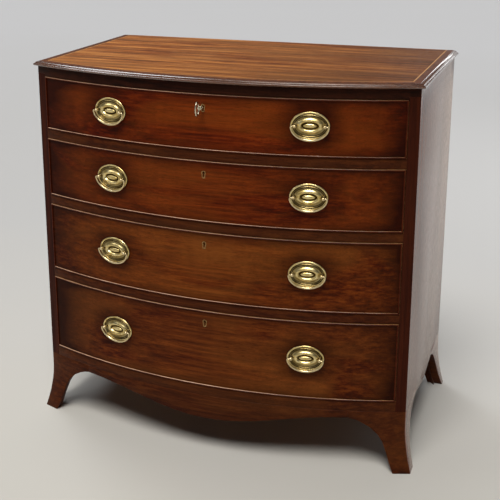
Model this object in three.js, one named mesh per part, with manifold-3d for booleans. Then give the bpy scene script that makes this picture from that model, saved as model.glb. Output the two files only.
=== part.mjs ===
// A bow front chest of four graduated drawers on splayed bracket feet, with a
// moulded top, beaded drawer fronts, oval brass handles and a lock in each drawer.
// Millimetres. X runs left to right, Y from front to back, Z up from the floor.
// While the pieces are worked out, Y is zero on the line through the two front
// corners of the carcase, and the bow stands forward of it, at negative Y.

import * as THREE from 'three';
import { mergeVertices } from 'three/addons/utils/BufferGeometryUtils.js';
import Module from 'manifold-3d';

const wasm = await Module();
wasm.setup();

// Carcase
const carcaseWidth = 907;
const carcaseDepth = 474;
const bowRise = 85;
const sideThickness = 22.5;
const backThickness = 12;
const backRebateWidth = 12;
const friezeHeight = 24;
const friezeOverSides = 18;
const dividerThickness = 22.5;
const dustboardThickness = 12;
const bottomThickness = 25;
const railDepth = 60;
const baseHeight = 147;

// Clear heights of the drawer openings, from the top drawer down
const openingHeights = [127, 142, 167, 190];

// Top
const topThickness = 10.5;
const topOverhang = 9;
const topMouldingWidth = 14.6;

// Apron and feet
const apronThickness = 20;
const bracketReach = 124;
const apronLeast = 17.5;
const frontApronDrop = 41.5;
const sideApronDrop = 14;
const footSplayOut = 19.3;
const footSplayForward = 13.5;

// Drawers
const drawerSideGap = 1;
const drawerTopGap = 1;
const drawerBottomGap = 0.7;
const runningGap = 0.3;
const frontThickness = 22;
const liningThickness = 10;
const drawerBottomThickness = 6;
const drawerBottomLift = 8;
const sideHeightLoss = 6;
const backHeightLoss = 8;
const rearClearance = 20;
const frontGrooveDepth = 6;
const sideGrooveDepth = 4;
const dovetailPitch = 38;

// Bead round each drawer front
const beadWidth = 3.2;
const beadProud = 2.5;

// Blocks that stop the drawers as they close
const stopSpacing = 300;
const stopWidth = 40;
const stopDepth = 25;
const stopHeight = 5;

// Handles
const handleSpacing = 467.5;
const handleRise = 5.5;
const plateWidth = 84;
const plateHeight = 61;
const plateRelief = 7;
const postSpacing = 64.4;
const postRadius = 2.6;
const ballRadius = 3.9;
const hingeProud = 11;
const boreGap = 0.4;
const bailOutset = 4.5;
const bailDrop = 31.6;
const bailEndRadius = 1.5;
const bailMiddleRadius = 2.4;
const bailBend = 3;
const bailPinDepth = 5.9;

// Locks
const lockWidth = 60;
const lockDepth = 12;
const lockWall = 1.6;
const keyDrop = 27;
const lockBelowKey = 15;
const boltWidth = 20;
const boltThickness = 6;
const boltThrow = 8;
const boltGap = 0.6;
const keyholeRadius = 2.7;
const keyholeSlotWidth = 3;
const keyholeSlotLength = 10;

// Key
const keyProjection = 45;
const keyRingHeight = 32;
const keyRingLength = 23;
const keyRingThickness = 3.6;
const keyShankGap = 0.5;
const keyCollarRadius = 5;
const keyCollarLength = 5;
const keyBitReach = 8.6;
const keyBitThickness = 2.2;
const keyBitLength = 4.5;

// Clearance at cut and curved contacts, and the overrun of every cutter
const fitGap = 0.3;
const overrun = 2;

// Sizes that follow from those they fit
const archHeight = baseHeight - apronLeast;
const boreRadius = bailEndRadius + boreGap;
const bailWidth = postSpacing + 2 * (ballRadius + bailOutset);
const lockHeight = keyDrop + lockBelowKey;
const keyShankRadius = keyholeRadius - keyShankGap;

// Moulded edge of the top, from the arris down: shares of the moulding's width
// and of the top's thickness
const topMouldingShares = [
  [0, 0], [0.3, 0.06], [0.55, 0.2], [0.68, 0.34], [0.71, 0.5], [0.9, 0.56], [1, 0.76], [0.9, 1],
];

// Inner edge of a foot, from the floor up: shares of the arch height and of the
// bracket's reach
const footEdgeShares = [
  [0, 0.157], [0.174, 0.234], [0.348, 0.294], [0.564, 0.383], [0.695, 0.472],
  [0.834, 0.617], [0.925, 0.77], [0.975, 0.89], [1, 1],
];

// The splay starts at this share of the arch height and grows by this power
const splayStartShare = 0.89;
const splayPower = 1.9;

// Relief of the handle's plate, from its rim in: shares of its width, its height
// and its relief
const plateRimShare = 0.44;
const plateReliefShares = [
  [1, 1, 0], [1, 1, 0.14], [0.94, 0.92, plateRimShare], [0.86, 0.82, 0.14], [0.75, 0.67, 0.34],
  [0.45, 0.32, 1], [0.34, 0.2, 0.5],
];
const plateBossShares = [0.14, 0.07, 0.95];

// A hanging bail leans in to rest on the plate's rim, at this share of its drop
const bailRestShare = 0.9;
const bailRestHeight = plateRelief * plateRimShare + bailMiddleRadius + fitGap;
const bailLean = Math.asin((hingeProud - bailRestHeight) / (bailDrop * bailRestShare));

// Dovetails: width of a tail at its shoulder as a share of the pitch, the splay of
// its flanks, and the lap at the front as a share of the front's thickness
const tailWidthShare = 0.52;
const tailSplay = Math.tan(THREE.MathUtils.degToRad(10));
const tailLapShare = 0.5;

// The glue block in a foot's corner takes this share of the room left at the floor
const glueBlockShare = 0.85;

// Facets
const bowSteps = 16;
const apronSteps = 24;
const plateSegments = 16;
const bailArcSteps = 8;
const bailSides = 6;
const roundSegments = 8;

// Materials
function finish(color, roughness, metalness) {
  return new THREE.MeshStandardMaterial({ color, roughness, metalness });
}
const mahoganyTop = finish('#8a4a24', 0.25, 0);
const mahoganyFront = finish('#5b2413', 0.3, 0);
const mahoganyCarcase = finish('#4a2016', 0.35, 0);
const oakLining = finish('#a98255', 0.7, 0);
const pineBoard = finish('#9b7a52', 0.8, 0);
const brass = finish('#c9a558', 0.3, 1);
const iron = finish('#5c5a55', 0.5, 1);

// Heights that follow from the stack of openings, dividers and rails
const halfWidth = carcaseWidth / 2;
const openingHalf = halfWidth - sideThickness;
const backFace = carcaseDepth - backThickness;
const openings = [];
let level = baseHeight + bottomThickness;
for (const height of [...openingHeights].reverse()) {
  openings.unshift({ bottom: level, top: level + height });
  level += height + dividerThickness;
}
const friezeBottom = openings[0].top;
const topUnderside = friezeBottom + friezeHeight;
const friezeJoint = topUnderside - friezeOverSides;

// The bow is one arc through the two front corners
const bowRadius = (halfWidth ** 2 + bowRise ** 2) / (2 * bowRise);
const bowCentre = bowRadius - bowRise;

function bowY(x, inset = 0) {
  return bowCentre - Math.sqrt((bowRadius - inset) ** 2 - x ** 2);
}

function bowLine(half, inset, steps = bowSteps) {
  return Array.from({ length: steps + 1 }, (_, i) => {
    const x = half * ((2 * i) / steps - 1);
    return [x, bowY(x, inset)];
  });
}

// Rails follow the bow in front and are straight behind
const railBack = Math.max(railDepth - bowRise, bowY(openingHalf) + railDepth / 2);

// Outlines are drawn as seen from above (x, y), from the front (x, z) or from the
// right side (y, z), and each view turns its extrusion to where it belongs
const xAxis = new THREE.Vector3(1, 0, 0);
const yAxis = new THREE.Vector3(0, 1, 0);
const zAxis = new THREE.Vector3(0, 0, 1);
const views = {
  above: new THREE.Matrix4(),
  front: new THREE.Matrix4().makeBasis(xAxis, zAxis, yAxis.clone().negate()),
  side: new THREE.Matrix4().makeBasis(yAxis, zAxis, xAxis),
};

function toSolid(geometry) {
  const bare = geometry.clone();
  bare.deleteAttribute('normal');
  bare.deleteAttribute('uv');
  const merged = mergeVertices(bare);
  const mesh = new wasm.Mesh({
    numProp: 3,
    vertProperties: Float32Array.from(merged.attributes.position.array),
    triVerts: Uint32Array.from(merged.index.array),
  });
  return new wasm.Manifold(mesh);
}

function toGeometry(solid) {
  const mesh = solid.getMesh();
  const geometry = new THREE.BufferGeometry();
  geometry.setAttribute('position', new THREE.BufferAttribute(mesh.vertProperties, 3));
  geometry.setIndex(new THREE.BufferAttribute(mesh.triVerts, 1));
  geometry.computeVertexNormals();
  return geometry;
}

// A flat outline given thickness between two places on the axis it is seen along
function cutBoard(outline, low, high, view = 'above') {
  const shape = new THREE.Shape(outline.map(([a, b]) => new THREE.Vector2(a, b)));
  const geometry = new THREE.ExtrudeGeometry(shape, { depth: high - low, bevelEnabled: false });
  geometry.applyMatrix4(views[view]);
  if (view === 'above') geometry.translate(0, 0, low);
  if (view === 'front') geometry.translate(0, high, 0);
  if (view === 'side') geometry.translate(low, 0, 0);
  return toSolid(geometry);
}

function block([x0, x1], [y0, y1], [z0, z1]) {
  return cutBoard([[y0, z0], [y1, z0], [y1, z1], [y0, z1]], x0, x1, 'side');
}

// Rings of equal point count joined in turn, and closed by the first and the last.
// Each ring runs anticlockwise seen from the end where the last one lies
function joinRings(rings) {
  const count = rings[0].length;
  const positions = rings.flat(2);
  const index = [];
  for (let ring = 0; ring < rings.length - 1; ring += 1) {
    for (let i = 0; i < count; i += 1) {
      const next = (i + 1) % count;
      const a = ring * count + i;
      const b = ring * count + next;
      index.push(a, b, b + count, a, b + count, a + count);
    }
  }
  const contour = (ring) => ring.map(([x, y]) => new THREE.Vector2(x, y));
  const last = (rings.length - 1) * count;
  for (const [a, b, c] of THREE.ShapeUtils.triangulateShape(contour(rings[0]), [])) {
    index.push(c, b, a);
  }
  for (const [a, b, c] of THREE.ShapeUtils.triangulateShape(contour(rings.at(-1)), [])) {
    index.push(last + a, last + b, last + c);
  }
  const geometry = new THREE.BufferGeometry();
  geometry.setAttribute('position', new THREE.Float32BufferAttribute(positions, 3));
  geometry.setIndex(index);
  return toSolid(geometry);
}

// A round rod along X or, with a view, along the axis it is seen along
function rod(radius, low, high, view = 'above') {
  const geometry = new THREE.CylinderGeometry(radius, radius, high - low, roundSegments);
  geometry.rotateX(Math.PI / 2);
  geometry.translate(0, 0, (low + high) / 2);
  geometry.applyMatrix4(views[view]);
  return toSolid(geometry);
}

const chest = new THREE.Group();
const framed = new THREE.Group();
framed.position.y = -(carcaseDepth - bowRise - keyProjection) / 2;
chest.add(framed);

function addPart(name, solid, material, parent = framed) {
  const mesh = new THREE.Mesh(toGeometry(solid), material);
  mesh.name = name;
  parent.add(mesh);
  return mesh;
}

// The top: its outline grows and falls along the moulded edge, which runs round the
// front and the two ends and stops at the flat back
function topOutline(offset) {
  const half = halfWidth + offset;
  return [...bowLine(half, -offset), [half, carcaseDepth], [-half, carcaseDepth]];
}

function makeTop() {
  const rings = [...topMouldingShares].reverse().map(([widthShare, dropShare]) => {
    const offset = topOverhang - topMouldingWidth * (1 - widthShare);
    const height = topUnderside + topThickness * (1 - dropShare);
    return topOutline(offset).map(([x, y]) => [x, y, height]);
  });
  addPart('top_board', joinRings(rings), mahoganyTop);
}

// Lower edges of the aprons hang lowest in the middle and rise to the arches
function apronEdge(place, middle, reach, drop) {
  const wave = (1 + Math.cos((Math.PI * (place - middle)) / reach)) / 2;
  return archHeight - drop * wave;
}

function steppedLine(low, high, steps, heightAt) {
  return Array.from({ length: steps + 1 }, (_, i) => {
    const place = low + ((high - low) * i) / steps;
    return [place, heightAt(place)];
  });
}

// Each side is one board. Its front edge follows the bow and is notched for the
// frieze, its back edge is rebated for the back, and between the feet it comes down
// to a shaped apron
function makeSide(name, hand) {
  const inner = halfWidth - sideThickness;
  const plan = [
    [hand * halfWidth, 0],
    [hand * halfWidth, carcaseDepth],
    [hand * (halfWidth - sideThickness + backRebateWidth), carcaseDepth],
    [hand * (halfWidth - sideThickness + backRebateWidth), backFace],
    [hand * inner, backFace],
    [hand * inner, bowY(inner)],
  ];
  const middle = carcaseDepth / 2;
  const reach = middle - bracketReach;
  const edge = steppedLine(bracketReach, carcaseDepth - bracketReach, apronSteps / 2,
    (y) => apronEdge(y, middle, reach, sideApronDrop));
  const elevation = [
    [-bowRise, baseHeight],
    [bracketReach, baseHeight],
    ...edge,
    [carcaseDepth - bracketReach, baseHeight],
    [carcaseDepth + overrun, baseHeight],
    [carcaseDepth + overrun, topUnderside],
    [railBack, topUnderside],
    [railBack, friezeJoint],
    [-bowRise, friezeJoint],
  ];
  const across = hand > 0 ? [0, halfWidth + overrun] : [-halfWidth - overrun, 0];
  const profile = cutBoard(elevation, across[0], across[1], 'side');
  const board = cutBoard(plan, 0, topUnderside);
  addPart(name, board.intersect(profile), mahoganyCarcase);
}

function makeBack() {
  const half = openingHalf + backRebateWidth;
  addPart('back_panel',
    block([-half, half], [backFace, carcaseDepth], [baseHeight, topUnderside]), pineBoard);
}

// Where each lock's bolt runs, from front to back
const frontInner = -bowRise + frontThickness;
const boltBack = frontInner - lockWall - fitGap;
const boltFront = boltBack - boltThickness;
const mortiseHeight = boltThrow + boltGap;

function boltMortise(bottom) {
  const half = boltWidth / 2 + boltGap;
  return block([-half, half], [boltFront - boltGap, boltBack + boltGap],
    [bottom - overrun, bottom + mortiseHeight]);
}

function bowedRail(half, bottom, top) {
  return cutBoard([...bowLine(half, 0), [half, railBack], [-half, railBack]], bottom, top);
}

function drawerStops(base) {
  const half = (stopSpacing + stopWidth) / 2;
  const front = bowY(half, frontThickness) + fitGap;
  let stops = null;
  for (const hand of [-1, 1]) {
    const centre = (hand * stopSpacing) / 2;
    const piece = block([centre - stopWidth / 2, centre + stopWidth / 2],
      [front, front + stopDepth], [base - stopHeight, base + stopHeight]);
    stops = stops ? stops.add(piece) : piece;
  }
  return stops;
}

function makeRails() {
  let frieze = bowedRail(halfWidth, friezeBottom, topUnderside)
    .subtract(boltMortise(friezeBottom));
  for (const ends of [[-halfWidth - overrun, -openingHalf], [openingHalf, halfWidth + overrun]]) {
    frieze = frieze.subtract(block(ends, [-bowRise, railBack + overrun],
      [friezeBottom - overrun, friezeJoint]));
  }
  addPart('frieze_rail', frieze, mahoganyCarcase);
  for (let i = 0; i < openings.length - 1; i += 1) {
    const top = openings[i].bottom;
    const bottom = openings[i + 1].top;
    const dustboard = block([-openingHalf, openingHalf], [0, backFace],
      [top - dustboardThickness, top]);
    const divider = bowedRail(openingHalf, bottom, top)
      .add(dustboard)
      .add(drawerStops(top))
      .subtract(boltMortise(bottom));
    addPart(`drawer_divider_${i + 1}`, divider, mahoganyCarcase);
  }
  const bottomOutline = [
    ...bowLine(openingHalf, 0), [openingHalf, backFace], [-openingHalf, backFace],
  ];
  const carcaseBottom = cutBoard(bottomOutline, baseHeight, baseHeight + bottomThickness);
  addPart('carcase_bottom', carcaseBottom.add(drawerStops(baseHeight + bottomThickness)),
    mahoganyCarcase);
}

// The front apron runs between the front feet, under the carcase
function makeApron() {
  const reach = halfWidth - bracketReach;
  const front = bowLine(reach, 0, apronSteps);
  const back = bowLine(reach, apronThickness, apronSteps).reverse();
  const lowest = archHeight - frontApronDrop;
  const elevation = [
    ...steppedLine(-reach, reach, apronSteps, (x) => apronEdge(x, 0, reach, frontApronDrop)),
    [reach, baseHeight],
    [-reach, baseHeight],
  ];
  const profile = cutBoard(elevation, -bowRise - overrun, carcaseDepth, 'front');
  const band = cutBoard([...front, ...back], lowest - overrun, baseHeight);
  addPart('front_apron', band.intersect(profile), mahoganyCarcase);
}

// A foot is two wings mitred at the corner with a glue block behind the joint. Its
// outer faces are flush with the carcase above and sweep outwards to the floor
function footLevels() {
  const levels = footEdgeShares.map(([heightShare, reachShare]) => ({
    height: heightShare * archHeight,
    reach: reachShare * bracketReach,
  }));
  levels.push({ height: baseHeight, reach: bracketReach });
  return levels;
}

function splayShare(height) {
  const start = splayStartShare * archHeight;
  return height < start ? (1 - height / start) ** splayPower : 0;
}

const floorReach = footEdgeShares[0][1] * bracketReach;
const glueBlock = glueBlockShare
  * (floorReach + Math.min(footSplayOut, footSplayForward) - apronThickness);

// One level of a foot, as seen from above at the right-hand end of the chest. The
// wing across the chest follows the bow on a front foot and is straight on a back one
function footOutline({ height, reach }, atFront) {
  const out = footSplayOut * splayShare(height);
  const forward = atFront ? footSplayForward * splayShare(height) : 0;
  const corner = halfWidth + out;
  const inner = halfWidth - reach;
  const faceY = (x) => (atFront ? bowY((x * halfWidth) / corner) - forward : 0);
  const behind = apronThickness;
  const shoulder = corner - behind - glueBlock;
  const along = [0, 1 / 3, 2 / 3, 1].map((share) => inner + (shoulder - inner) * share);
  return [
    ...along.map((x) => [x, faceY(x)]),
    [corner, faceY(corner)],
    [corner, reach],
    [corner - behind, reach],
    [corner - behind, faceY(corner) + behind + glueBlock],
    ...along.reverse().map((x) => [x, faceY(x) + behind]),
  ];
}

function makeFoot(name, hand, atFront) {
  const rings = footLevels().map((footLevel) => {
    const ring = footOutline(footLevel, atFront)
      .map(([x, y]) => [hand * x, atFront ? y : carcaseDepth - y, footLevel.height]);
    return (hand > 0) === atFront ? ring : ring.reverse();
  });
  addPart(name, joinRings(rings), mahoganyCarcase);
}

// Drawers
const drawerHalf = openingHalf - drawerSideGap;
const liningInner = drawerHalf - liningThickness;
const shoulderY = bowY(liningInner, frontThickness);
const tailLap = frontThickness * tailLapShare;
const drawerBack = backFace - rearClearance;

function drawerHeights({ bottom, top }) {
  const low = bottom + drawerBottomGap;
  const high = top - drawerTopGap;
  const sideLow = bottom + runningGap;
  const sideHigh = high - sideHeightLoss;
  const panelLow = sideLow + drawerBottomLift;
  const panelHigh = panelLow + drawerBottomThickness;
  return { low, high, sideLow, sideHigh, panelLow, panelHigh, keyLevel: high - keyDrop };
}

// The tails of one end of a drawer side, as seen from the side: they start behind the
// shoulder line and spread towards their tips. Sockets are the same shapes grown by
// the gap
function tailOutlines(shoulder, tip, low, high, gap) {
  const count = Math.max(2, Math.round((high - low) / dovetailPitch));
  const pitch = (high - low) / count;
  const away = Math.sign(tip - shoulder);
  const root = shoulder - away * overrun;
  const end = tip + away * gap;
  const halfAt = (y) => (pitch * tailWidthShare) / 2 + gap + (y - shoulder) * away * tailSplay;
  return Array.from({ length: count }, (_, i) => {
    const middle = low + pitch * (i + 1 / 2);
    return [
      [root, middle - halfAt(root)],
      [end, middle - halfAt(end)],
      [end, middle + halfAt(end)],
      [root, middle + halfAt(root)],
    ];
  });
}

function frontTails(heights, gap) {
  return tailOutlines(shoulderY, shoulderY - tailLap, heights.panelHigh + fitGap,
    heights.sideHigh, gap);
}

function backTails(heights, gap) {
  return tailOutlines(drawerBack - liningThickness, drawerBack, heights.panelHigh + fitGap,
    heights.sideHigh - backHeightLoss, gap);
}

function cutOutlines(solid, outlines, low, high) {
  return outlines.reduce((rest, outline) => rest.subtract(cutBoard(outline, low, high, 'side')),
    solid);
}

// The drawer bottom: its front edge follows the bow inside the groove of the front
function panelOutline(gap) {
  const grooved = liningInner + sideGrooveDepth + gap;
  const half = liningInner - fitGap;
  return [
    ...bowLine(half, frontThickness - frontGrooveDepth - gap),
    [half, shoulderY + fitGap],
    [grooved, shoulderY + fitGap],
    [grooved, drawerBack],
    [-grooved, drawerBack],
    [-grooved, shoulderY + fitGap],
    [-half, shoulderY + fitGap],
  ];
}

function keyholeOutline() {
  const half = keyholeSlotWidth / 2;
  const meet = Math.sqrt(keyholeRadius ** 2 - half ** 2);
  const start = Math.atan2(-meet, half);
  const sweep = 2 * Math.PI - 2 * Math.atan2(half, meet);
  const points = Array.from({ length: roundSegments + 1 }, (_, i) => {
    const angle = start + (sweep * i) / roundSegments;
    return [keyholeRadius * Math.cos(angle), keyholeRadius * Math.sin(angle)];
  });
  return [...points, [-half, -keyholeSlotLength], [half, -keyholeSlotLength]];
}

function makeDrawerFront(index, heights) {
  const { low, high, panelLow, panelHigh, keyLevel } = heights;
  const outline = [
    ...bowLine(drawerHalf, -beadProud),
    [drawerHalf, shoulderY],
    ...bowLine(liningInner, frontThickness).reverse(),
    [-drawerHalf, shoulderY],
  ];
  const fieldHalf = drawerHalf - beadWidth;
  const field = [
    ...bowLine(fieldHalf, 0),
    [fieldHalf, -bowRise - beadProud - overrun],
    [-fieldHalf, -bowRise - beadProud - overrun],
  ];
  const lockHalf = lockWidth / 2 + fitGap;
  const mortise = block([-lockHalf, lockHalf],
    [frontInner - lockDepth - fitGap, frontInner + overrun],
    [high - lockHeight - fitGap, high + overrun]);
  const keyhole = keyholeOutline().map(([x, z]) => [x, z + keyLevel]);
  let front = cutBoard(outline, low, high)
    .subtract(cutBoard(field, low + beadWidth, high - beadWidth))
    .subtract(mortise)
    .subtract(cutBoard(keyhole, -bowRise - overrun, frontInner, 'front'))
    .subtract(cutBoard(panelOutline(fitGap), panelLow, panelHigh + fitGap));
  const sockets = frontTails(heights, fitGap);
  front = cutOutlines(front, sockets, liningInner - fitGap, drawerHalf + overrun);
  front = cutOutlines(front, sockets, -drawerHalf - overrun, -liningInner + fitGap);
  addPart(`drawer_${index}_front`, front, mahoganyFront);
}

function makeDrawerSide(index, heights, hand) {
  const { sideLow, sideHigh, panelLow, panelHigh } = heights;
  const across = hand > 0 ? [liningInner, drawerHalf] : [-drawerHalf, -liningInner];
  const rear = drawerBack - liningThickness;
  let side = block(across, [shoulderY, rear], [sideLow, sideHigh]);
  for (const tail of [...frontTails(heights, 0), ...backTails(heights, 0)]) {
    side = side.add(cutBoard(tail, across[0], across[1], 'side'));
  }
  side = side.add(block(across, [rear - liningThickness, drawerBack], [sideLow, panelLow]));
  const groove = cutBoard(panelOutline(fitGap), panelLow, panelHigh + fitGap);
  const name = `drawer_${index}_side_${hand > 0 ? 'right' : 'left'}`;
  addPart(name, side.subtract(groove), oakLining);
}

function makeDrawerBack(index, heights) {
  const sockets = backTails(heights, fitGap);
  let back = block([-drawerHalf, drawerHalf], [drawerBack - liningThickness + fitGap, drawerBack],
    [heights.panelHigh, heights.sideHigh - backHeightLoss]);
  back = cutOutlines(back, sockets, liningInner - fitGap, drawerHalf + overrun);
  back = cutOutlines(back, sockets, -drawerHalf - overrun, -liningInner + fitGap);
  addPart(`drawer_${index}_back`, back, oakLining);
}

function makeDrawerBottom(index, { panelLow, panelHigh }) {
  addPart(`drawer_${index}_bottom`, cutBoard(panelOutline(0), panelLow, panelHigh), oakLining);
}

// A lock is a shallow case let into the back of the drawer front, open towards the
// keyhole. Its bolt rises through a slot in the case's top edge
function makeLock(index, heights) {
  const top = heights.high - fitGap;
  const bottom = top - lockHeight + fitGap;
  const half = lockWidth / 2;
  const front = frontInner - lockDepth;
  const boltHalf = boltWidth / 2;
  const slotHalf = boltHalf + fitGap;
  const hollow = block([-half + lockWall, half - lockWall],
    [front - overrun, frontInner - lockWall], [bottom + lockWall, top - lockWall]);
  const slot = block([-slotHalf, slotHalf], [boltFront - fitGap, boltBack + fitGap],
    [top - lockWall - overrun, top + overrun]);
  const caseSolid = block([-half, half], [front, frontInner], [bottom, top])
    .subtract(hollow)
    .subtract(slot);
  addPart(`drawer_${index}_lock`, caseSolid, brass);
  const boltBottom = heights.keyLevel + keyBitReach + overrun;
  addPart(`drawer_${index}_lock_bolt`,
    block([-boltHalf, boltHalf], [boltFront, boltBack], [boltBottom, top]), iron);
}

// The plate of a handle, lying face up: rings of an oval relief round a central boss,
// with two ball-headed posts that are bored for the ends of the bail
function ovalRing([widthShare, heightShare, reliefShare]) {
  return Array.from({ length: plateSegments }, (_, i) => {
    const angle = (2 * Math.PI * i) / plateSegments;
    return [
      (plateWidth / 2) * widthShare * Math.cos(angle),
      (plateHeight / 2) * heightShare * Math.sin(angle),
      plateRelief * reliefShare,
    ];
  });
}

function makePlateSolid() {
  let plate = joinRings([...plateReliefShares, plateBossShares].map(ovalRing));
  for (const hand of [-1, 1]) {
    const place = (hand * postSpacing) / 2;
    const ball = new THREE.SphereGeometry(ballRadius, roundSegments, roundSegments - 3);
    ball.rotateZ(Math.PI / 2);
    ball.translate(place, 0, hingeProud);
    const stem = rod(postRadius, 0, hingeProud).translate([place, 0, 0]);
    const bore = rod(boreRadius, place - ballRadius - overrun, place + ballRadius + overrun,
      'side').translate([0, 0, hingeProud]);
    plate = plate.add(stem).add(toSolid(ball)).subtract(bore);
  }
  return plate;
}

// The bail is one rod, thickest in the middle: pins at both ends turn in the posts, and
// a short bend at each end leads into half an oval
function bailLine() {
  const half = bailWidth / 2;
  const pin = postSpacing / 2 + ballRadius - bailPinDepth;
  const bendX = half - bailBend;
  const corner = bailBend * (1 - Math.SQRT1_2);
  const start = Math.asin(bailBend / bailDrop);
  const right = [[pin, 0], [bendX, 0], [half - corner, -corner], [half, -bailBend]];
  const arc = Array.from({ length: bailArcSteps }, (_, i) => {
    const angle = start + ((Math.PI - 2 * start) * (i + 1)) / (bailArcSteps + 1);
    return [half * Math.cos(angle), -bailDrop * Math.sin(angle)];
  });
  const left = [...right].reverse().map(([x, y]) => [-x, y]);
  return [...right, ...arc, ...left];
}

function makeBailSolid() {
  const line = bailLine();
  const rings = line.map(([x, y], i) => {
    const [x0, y0] = line[Math.max(i - 1, 0)];
    const [x1, y1] = line[Math.min(i + 1, line.length - 1)];
    const length = Math.hypot(x1 - x0, y1 - y0);
    const normal = [(y1 - y0) / length, -(x1 - x0) / length];
    const swell = Math.min(1, Math.abs(y / bailDrop));
    const radius = bailEndRadius + (bailMiddleRadius - bailEndRadius) * swell;
    return Array.from({ length: bailSides }, (_, side) => {
      const angle = (2 * Math.PI * side) / bailSides;
      const away = radius * Math.cos(angle);
      return [x + normal[0] * away, y + normal[1] * away, radius * Math.sin(angle)];
    });
  });
  const count = bailSides;
  const index = [];
  for (let ring = 0; ring < rings.length - 1; ring += 1) {
    for (let i = 0; i < count; i += 1) {
      const a = ring * count + i;
      const b = ring * count + ((i + 1) % count);
      index.push(a, b + count, b, a, a + count, b + count);
    }
  }
  const last = (rings.length - 1) * count;
  for (let i = 1; i < count - 1; i += 1) {
    index.push(0, i, i + 1, last, last + i + 1, last + i);
  }
  const geometry = new THREE.BufferGeometry();
  geometry.setAttribute('position', new THREE.Float32BufferAttribute(rings.flat(2), 3));
  geometry.setIndex(index);
  geometry.rotateX(bailLean);
  geometry.translate(0, 0, hingeProud);
  return toSolid(geometry);
}

// A handle lies flat against the bow, so it is turned to face the way the bow faces
function addHandle(index, heights, hand, plateSolid, bailSolid) {
  const x = (hand * handleSpacing) / 2;
  const turn = Math.asin(x / bowRadius);
  const place = new THREE.Group();
  place.position.set(x, bowY(x), (heights.low + heights.high) / 2 + handleRise);
  place.rotation.z = turn;
  framed.add(place);
  const sideName = hand > 0 ? 'right' : 'left';
  for (const [piece, solid] of [['handle_plate', plateSolid], ['handle_bail', bailSolid]]) {
    const mesh = addPart(`drawer_${index}_${piece}_${sideName}`, solid, brass, place);
    mesh.geometry.applyMatrix4(views.front);
    mesh.position.y = -fitGap;
  }
}

// The key stands in the top drawer's lock with its ring upright and its bit down. It is
// built along its own length with the ring outwards
function makeKey(heights) {
  const tip = frontThickness - lockWall - fitGap;
  const ringRadius = (keyRingLength - keyRingThickness) / 2;
  const ringPlace = keyProjection - keyRingLength / 2;
  const ringStart = keyProjection - keyRingLength;
  const ring = new THREE.TorusGeometry(ringRadius, keyRingThickness / 2, roundSegments - 2,
    2 * roundSegments);
  ring.scale(1, (keyRingHeight - keyRingThickness) / (2 * ringRadius), 1);
  ring.rotateY(Math.PI / 2);
  ring.translate(0, 0, ringPlace);
  const shank = rod(keyShankRadius, -tip, ringStart + keyRingThickness / 2);
  const collar = rod(keyCollarRadius, ringStart - keyCollarLength, ringStart);
  const bitMiddle = -(frontThickness - lockDepth / 2);
  const bit = block([-keyBitThickness / 2, keyBitThickness / 2], [-keyBitReach, 0],
    [bitMiddle - keyBitLength / 2, bitMiddle + keyBitLength / 2]);
  const key = shank.add(collar).add(toSolid(ring)).add(bit);
  const mesh = addPart('key', key, iron);
  mesh.geometry.applyMatrix4(views.front);
  mesh.position.set(0, -bowRise, heights.keyLevel);
}

makeTop();
makeSide('side_left', -1);
makeSide('side_right', 1);
makeBack();
makeRails();
makeApron();
makeFoot('foot_front_left', -1, true);
makeFoot('foot_front_right', 1, true);
makeFoot('foot_back_left', -1, false);
makeFoot('foot_back_right', 1, false);

const plateSolid = makePlateSolid();
const bailSolid = makeBailSolid();
openings.forEach((opening, i) => {
  const heights = drawerHeights(opening);
  makeDrawerFront(i + 1, heights);
  makeDrawerSide(i + 1, heights, -1);
  makeDrawerSide(i + 1, heights, 1);
  makeDrawerBack(i + 1, heights);
  makeDrawerBottom(i + 1, heights);
  makeLock(i + 1, heights);
  addHandle(i + 1, heights, -1, plateSolid, bailSolid);
  addHandle(i + 1, heights, 1, plateSolid, bailSolid);
});
makeKey(drawerHeights(openings[0]));

export default chest;
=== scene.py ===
import math

import bmesh
import bpy
from mathutils import Matrix, Vector


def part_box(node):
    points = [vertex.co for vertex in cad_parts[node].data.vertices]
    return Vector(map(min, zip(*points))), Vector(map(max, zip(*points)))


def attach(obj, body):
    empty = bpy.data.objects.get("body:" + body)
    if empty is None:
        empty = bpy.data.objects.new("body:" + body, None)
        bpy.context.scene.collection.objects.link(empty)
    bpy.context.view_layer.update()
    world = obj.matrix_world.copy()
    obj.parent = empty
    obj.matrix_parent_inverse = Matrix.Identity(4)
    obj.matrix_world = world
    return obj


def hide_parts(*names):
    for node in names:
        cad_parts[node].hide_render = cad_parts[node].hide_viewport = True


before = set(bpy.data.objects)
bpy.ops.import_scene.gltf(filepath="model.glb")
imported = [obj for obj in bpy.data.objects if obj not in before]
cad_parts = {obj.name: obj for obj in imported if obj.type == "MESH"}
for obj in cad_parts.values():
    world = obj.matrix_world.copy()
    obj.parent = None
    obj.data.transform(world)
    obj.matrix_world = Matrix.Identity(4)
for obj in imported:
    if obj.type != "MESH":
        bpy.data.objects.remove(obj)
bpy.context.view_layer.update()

# Metres, in the frame of the solids: X to the right, Y to the back, Z up from the floor
bpy.ops.object.select_all(action="DESELECT")

MM = 0.001
BOW_RISE = 85 * MM
HANDLE_SPACING = 467.5 * MM
HANDLE_RISE = 5.5 * MM
KEY_DROP = 27 * MM
SEAT_GAP = 0.3 * MM

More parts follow.
